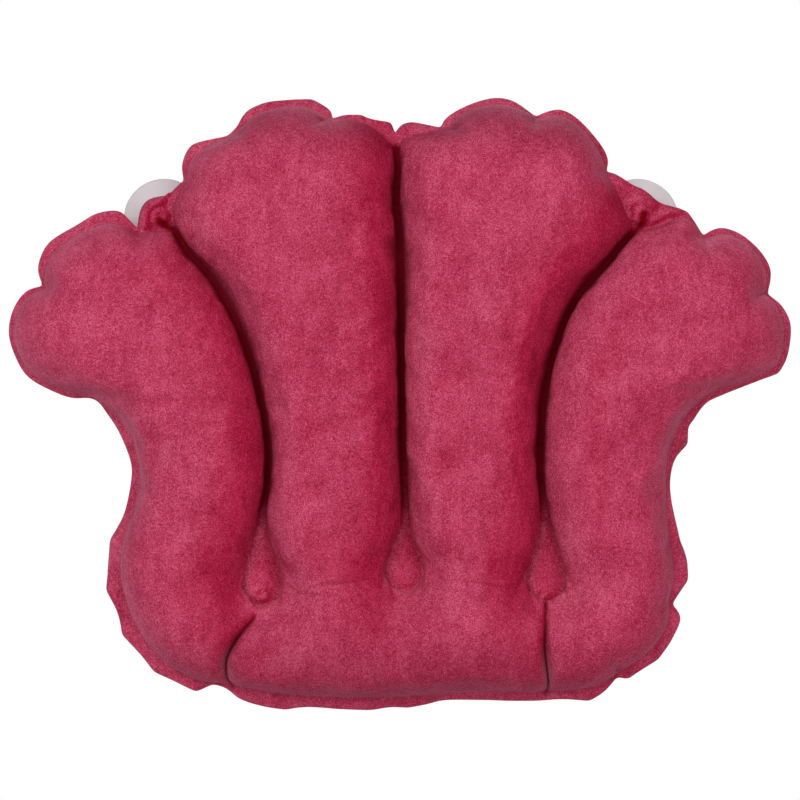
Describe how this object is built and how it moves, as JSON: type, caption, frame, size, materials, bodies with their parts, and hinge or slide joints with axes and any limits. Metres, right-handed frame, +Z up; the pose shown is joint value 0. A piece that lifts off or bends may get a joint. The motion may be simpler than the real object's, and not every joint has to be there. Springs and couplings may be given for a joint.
{
  "type": "bath pillow",
  "caption": "Inflatable shell-shaped bath pillow with a terry face, welded lobes, suction cups that hold it to the tub wall and a push-in air valve on its back.",
  "frame": {"origin": "on the tub wall, in the middle of the four suction cups", "axes": "+X across the pillow to the bather's view right, +Y from the bather into the wall, +Z up"},
  "size_m": [0.4834, 0.0712, 0.3765],
  "materials": {
    "terry": "raspberry cotton terry with a short pile",
    "back_vinyl": "soft raspberry vinyl film",
    "cup_vinyl": "milky clear soft vinyl",
    "valve_vinyl": "milky soft vinyl"
  },
  "bodies": {
    "pillow": {"front_panel": "terry", "back_panel": "back_vinyl", "valve_base": "valve_vinyl"},
    "cup_upper_left": {"suction_cup_upper_left": "cup_vinyl"},
    "cup_upper_right": {"suction_cup_upper_right": "cup_vinyl"},
    "cup_lower_left": {"suction_cup_lower_left": "cup_vinyl"},
    "cup_lower_right": {"suction_cup_lower_right": "cup_vinyl"},
    "stem": {"valve_stem": "valve_vinyl", "plug_strap": "valve_vinyl"},
    "plug": {"valve_plug": "valve_vinyl"},
    "flap": {"check_flap": "valve_vinyl"}
  },
  "joints": [
    {"name": "cup_upper_left_swivel", "type": "hinge", "parent": "pillow", "child": "cup_upper_left", "pos_m": [-0.148, 0, 0.116], "axis": [0, 1, 0], "continuous": true},
    {"name": "cup_upper_right_swivel", "type": "hinge", "parent": "pillow", "child": "cup_upper_right", "pos_m": [0.148, 0, 0.116], "axis": [0, 1, 0], "continuous": true},
    {"name": "cup_lower_left_swivel", "type": "hinge", "parent": "pillow", "child": "cup_lower_left", "pos_m": [-0.086, 0, -0.116], "axis": [0, 1, 0], "continuous": true},
    {"name": "cup_lower_right_swivel", "type": "hinge", "parent": "pillow", "child": "cup_lower_right", "pos_m": [0.086, 0, -0.116], "axis": [0, 1, 0], "continuous": true},
    {"name": "stem_slide", "type": "slide", "parent": "pillow", "child": "stem", "axis": [0, 1, 0], "range_m": [0, 0.012]},
    {"name": "plug_pull", "type": "slide", "parent": "stem", "child": "plug", "axis": [0, 1, 0], "range_m": [0, 0.012], "deforming": ["plug_strap"]},
    {"name": "flap_hinge", "type": "hinge", "parent": "stem", "child": "flap", "pos_m": [0.0676, -0.0269, 0.1064], "axis": [-1, 0, 0], "range_deg": [0, 60]}
  ]
}
